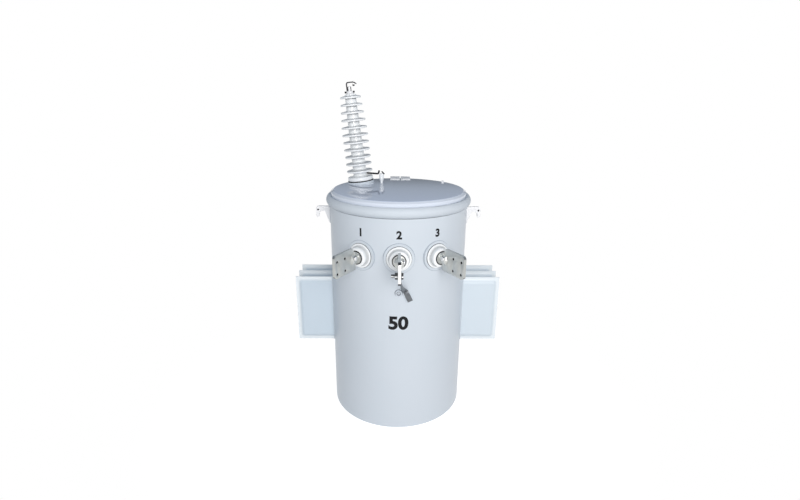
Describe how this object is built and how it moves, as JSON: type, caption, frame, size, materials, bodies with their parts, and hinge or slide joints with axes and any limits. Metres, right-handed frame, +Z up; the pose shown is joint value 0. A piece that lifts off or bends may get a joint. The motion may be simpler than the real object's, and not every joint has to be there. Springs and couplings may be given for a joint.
{
  "type": "pole mounted transformer",
  "caption": "Single-phase pole mounted transformer: round oil tank, clamped lid, leaning high-voltage bushing, low-voltage pad terminals, cooling fins, lifting lugs and pole brackets.",
  "frame": {"origin": "centre of the tank skirt's foot, on the floor", "axes": "+Z up the tank axis; +Y to the back, where the pole brackets stand; the low-voltage terminals face -Y; the cooling fins stand out along +X and -X"},
  "size_m": [0.85, 0.787, 1.336],
  "materials": {
    "tank_paint": "gloss",
    "porcelain": "gloss",
    "tinned_metal": "satin",
    "fastener_steel": "satin",
    "strap_metal": "satin",
    "black_paint": "satin",
    "gasket_rubber": "matte"
  },
  "bodies": {
    "root": {"tank_wall": "tank_paint", "tank_bottom": "tank_paint", "lid": "tank_paint", "cover_band": "tank_paint", "band_lug_left": "tank_paint", "band_lug_right": "tank_paint", "lid_plug": "tank_paint", "hv_boss": "tank_paint", "lifting_lug_left": "tank_paint", "lifting_lug_right": "tank_paint", "fin_left_1": "tank_paint", "fin_left_2": "tank_paint", "fin_left_3": "tank_paint", "fin_right_1": "tank_paint", "fin_right_2": "tank_paint", "fin_right_3": "tank_paint", "ground_boss": "tank_paint", "ground_pad": "tank_paint", "hanger_lower": "tank_paint", "hanger_upper": "tank_paint", "hv_bushing": "porcelain", "gap_post": "porcelain", "lv_bushing_left": "porcelain", "lv_bushing_middle": "porcelain", "lv_bushing_right": "porcelain", "hv_cap": "tinned_metal", "hv_wire_clamp": "tinned_metal", "lv_stud_left": "tinned_metal", "lv_stud_middle": "tinned_metal", "lv_stud_right": "tinned_metal", "lv_terminal_left": "tinned_metal", "lv_terminal_middle": "tinned_metal", "lv_terminal_right": "tinned_metal", "band_bolt": "fastener_steel", "band_nut": "fastener_steel", "strap_bolt": "fastener_steel", "lv_clamp_bolt_left": "fastener_steel", "lv_clamp_bolt_middle": "fastener_steel", "lv_clamp_bolt_right": "fastener_steel", "ground_strap": "strap_metal", "gap_arm": "black_paint", "gap_electrode": "black_paint", "hv_clamp_screw": "black_paint", "lid_gasket": "gasket_rubber", "hv_gasket": "gasket_rubber"}
  },
  "joints": []
}
